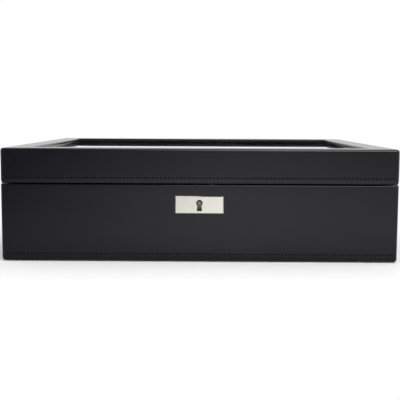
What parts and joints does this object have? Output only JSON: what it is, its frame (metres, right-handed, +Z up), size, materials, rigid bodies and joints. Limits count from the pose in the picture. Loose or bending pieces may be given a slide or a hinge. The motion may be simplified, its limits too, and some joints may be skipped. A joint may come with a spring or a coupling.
{
  "type": "watch box",
  "caption": "Low rectangular leather-wrapped watch box with a hinged glazed lid, a keyed box lock and a grid of lined compartments holding lift-out watch pillows.",
  "frame": {"origin": "middle of the underside, on the surface that the box stands on", "axes": "+Z up, +X to the right seen from the front, the lock's face towards -Y and the hinges towards +Y"},
  "size_m": [0.337, 0.3089, 0.0964],
  "materials": {
    "black_leather": "smooth, semi-gloss, fine grain",
    "stitch_thread": "waxed black thread",
    "board": "raw fibreboard",
    "suede_lining": "short-napped suede cloth",
    "pillow_cover": "short-napped suede cloth over foam",
    "felt": "matt felt",
    "window_glass": "clear float glass",
    "polished_nickel": "polished nickel plate",
    "lock_steel": "plain rolled steel, dulled"
  },
  "bodies": {
    "base": {"base_bottom_board": "board", "base_front_board": "board", "base_rear_board": "board", "base_left_board": "board", "base_right_board": "board", "base_leather": "black_leather", "underside_felt": "felt", "floor_lining": "suede_lining", "front_lining": "suede_lining", "rear_lining": "suede_lining", "left_lining": "suede_lining", "right_lining": "suede_lining", "long_divider_1": "suede_lining", "long_divider_2": "suede_lining", "cross_divider_1": "suede_lining", "cross_divider_2": "suede_lining", "cross_divider_3": "suede_lining", "cross_divider_4": "suede_lining", "lock_plate": "polished_nickel", "lock_case": "lock_steel", "lock_cover": "lock_steel", "lock_drill_pin": "lock_steel", "lock_spring": "polished_nickel", "lock_screws": "polished_nickel", "hinge_base_leaf_left": "polished_nickel", "hinge_base_leaf_right": "polished_nickel", "hinge_pin_left": "polished_nickel", "hinge_pin_right": "polished_nickel", "hinge_base_screws": "polished_nickel"},
    "lid": {"lid_front_rail": "board", "lid_rear_rail": "board", "lid_left_rail": "board", "lid_right_rail": "board", "lid_leather": "black_leather", "lid_glass": "window_glass", "glass_beads": "suede_lining", "lid_lining": "suede_lining", "lock_strike": "polished_nickel", "strike_screws": "polished_nickel", "hinge_lid_leaf_left": "polished_nickel", "hinge_lid_leaf_right": "polished_nickel", "hinge_lid_screws": "polished_nickel"},
    "lock_bolt": {"lock_bolt": "lock_steel"},
    "watch_pillow_1_1": {"watch_pillow_1_1": "pillow_cover"},
    "watch_pillow_1_2": {"watch_pillow_1_2": "pillow_cover"},
    "watch_pillow_1_3": {"watch_pillow_1_3": "pillow_cover"},
    "watch_pillow_1_4": {"watch_pillow_1_4": "pillow_cover"},
    "watch_pillow_1_5": {"watch_pillow_1_5": "pillow_cover"},
    "watch_pillow_2_1": {"watch_pillow_2_1": "pillow_cover"},
    "watch_pillow_2_2": {"watch_pillow_2_2": "pillow_cover"},
    "watch_pillow_2_3": {"watch_pillow_2_3": "pillow_cover"},
    "watch_pillow_2_4": {"watch_pillow_2_4": "pillow_cover"},
    "watch_pillow_2_5": {"watch_pillow_2_5": "pillow_cover"},
    "watch_pillow_3_1": {"watch_pillow_3_1": "pillow_cover"},
    "watch_pillow_3_2": {"watch_pillow_3_2": "pillow_cover"},
    "watch_pillow_3_3": {"watch_pillow_3_3": "pillow_cover"},
    "watch_pillow_3_4": {"watch_pillow_3_4": "pillow_cover"},
    "watch_pillow_3_5": {"watch_pillow_3_5": "pillow_cover"}
  },
  "joints": [
    {"name": "lid_hinge", "type": "hinge", "parent": "base", "child": "lid", "pos_m": [0, 0.1533, 0.0662], "axis": [-1, 0, 0], "range_deg": [0, 100]},
    {"name": "lock_bolt_slide", "type": "slide", "parent": "base", "child": "lock_bolt", "axis": [1, 0, 0], "range_m": [0, 0.005]},
    {"name": "pillow_lift_1_1", "type": "slide", "parent": "base", "child": "watch_pillow_1_1", "axis": [0, 0, 1], "range_m": [0, 0.02]},
    {"name": "pillow_lift_1_2", "type": "slide", "parent": "base", "child": "watch_pillow_1_2", "axis": [0, 0, 1], "range_m": [0, 0.02]},
    {"name": "pillow_lift_1_3", "type": "slide", "parent": "base", "child": "watch_pillow_1_3", "axis": [0, 0, 1], "range_m": [0, 0.02]},
    {"name": "pillow_lift_1_4", "type": "slide", "parent": "base", "child": "watch_pillow_1_4", "axis": [0, 0, 1], "range_m": [0, 0.02]},
    {"name": "pillow_lift_1_5", "type": "slide", "parent": "base", "child": "watch_pillow_1_5", "axis": [0, 0, 1], "range_m": [0, 0.02]},
    {"name": "pillow_lift_2_1", "type": "slide", "parent": "base", "child": "watch_pillow_2_1", "axis": [0, 0, 1], "range_m": [0, 0.02]},
    {"name": "pillow_lift_2_2", "type": "slide", "parent": "base", "child": "watch_pillow_2_2", "axis": [0, 0, 1], "range_m": [0, 0.02]},
    {"name": "pillow_lift_2_3", "type": "slide", "parent": "base", "child": "watch_pillow_2_3", "axis": [0, 0, 1], "range_m": [0, 0.02]},
    {"name": "pillow_lift_2_4", "type": "slide", "parent": "base", "child": "watch_pillow_2_4", "axis": [0, 0, 1], "range_m": [0, 0.02]},
    {"name": "pillow_lift_2_5", "type": "slide", "parent": "base", "child": "watch_pillow_2_5", "axis": [0, 0, 1], "range_m": [0, 0.02]},
    {"name": "pillow_lift_3_1", "type": "slide", "parent": "base", "child": "watch_pillow_3_1", "axis": [0, 0, 1], "range_m": [0, 0.02]},
    {"name": "pillow_lift_3_2", "type": "slide", "parent": "base", "child": "watch_pillow_3_2", "axis": [0, 0, 1], "range_m": [0, 0.02]},
    {"name": "pillow_lift_3_3", "type": "slide", "parent": "base", "child": "watch_pillow_3_3", "axis": [0, 0, 1], "range_m": [0, 0.02]},
    {"name": "pillow_lift_3_4", "type": "slide", "parent": "base", "child": "watch_pillow_3_4", "axis": [0, 0, 1], "range_m": [0, 0.02]},
    {"name": "pillow_lift_3_5", "type": "slide", "parent": "base", "child": "watch_pillow_3_5", "axis": [0, 0, 1], "range_m": [0, 0.02]}
  ]
}
